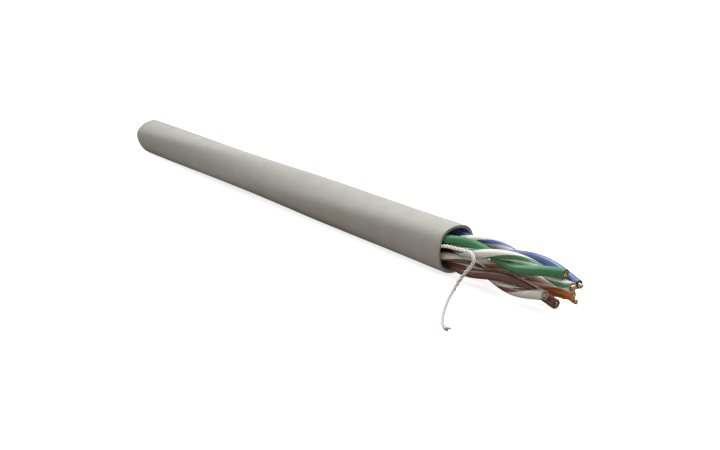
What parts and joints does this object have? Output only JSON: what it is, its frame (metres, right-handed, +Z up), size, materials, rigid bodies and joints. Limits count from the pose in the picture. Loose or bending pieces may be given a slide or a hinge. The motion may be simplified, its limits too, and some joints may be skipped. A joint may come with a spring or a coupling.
{
  "type": "twisted pair network cable sample",
  "caption": "Short cut length of grey network cable, stripped at one end to show twisted insulated wire pairs with bare copper ends and a loose rip cord.",
  "frame": {"origin": "on the resting plane, under the middle of the cable's length with its wire ends", "axes": "+X along the cable from the far cut end to the stripped end, +Z up"},
  "size_m": [0.0936, 0.0134, 0.0054],
  "materials": {
    "jacket": "warm grey PVC with a fine matte grain",
    "insulation_blue": "satin blue polyethylene",
    "insulation_white_blue": "off-white polyethylene with blue stripes",
    "insulation_orange": "satin orange polyethylene",
    "insulation_white_orange": "off-white polyethylene with orange stripes",
    "insulation_green": "satin green polyethylene",
    "insulation_white_green": "off-white polyethylene with green stripes",
    "insulation_brown": "satin brown polyethylene",
    "insulation_white_brown": "off-white polyethylene with brown stripes",
    "copper": "bright cut copper",
    "rip_cord": "plied off-white thread"
  },
  "bodies": {
    "jacket": {"jacket": "jacket"},
    "blue_pair": {"insulation_blue": "insulation_blue", "conductor_blue": "copper", "insulation_white_blue": "insulation_white_blue", "conductor_white_blue": "copper"},
    "orange_pair": {"insulation_orange": "insulation_orange", "conductor_orange": "copper", "insulation_white_orange": "insulation_white_orange", "conductor_white_orange": "copper"},
    "green_pair": {"insulation_green": "insulation_green", "conductor_green": "copper", "insulation_white_green": "insulation_white_green", "conductor_white_green": "copper"},
    "brown_pair": {"insulation_brown": "insulation_brown", "conductor_brown": "copper", "insulation_white_brown": "insulation_white_brown", "conductor_white_brown": "copper"},
    "rip_cord": {"rip_cord": "rip_cord"}
  },
  "joints": [
    {"name": "blue_pair_slide", "type": "slide", "parent": "jacket", "child": "blue_pair", "axis": [1, 0, 0], "range_m": [0, 0.06]},
    {"name": "orange_pair_slide", "type": "slide", "parent": "jacket", "child": "orange_pair", "axis": [1, 0, 0], "range_m": [0, 0.06]},
    {"name": "green_pair_slide", "type": "slide", "parent": "jacket", "child": "green_pair", "axis": [1, 0, 0], "range_m": [0, 0.06]},
    {"name": "brown_pair_slide", "type": "slide", "parent": "jacket", "child": "brown_pair", "axis": [1, 0, 0], "range_m": [0, 0.06]},
    {"name": "rip_cord_pull", "type": "slide", "parent": "jacket", "child": "rip_cord", "axis": [1, 0, 0], "range_m": [0, 0.06]}
  ]
}
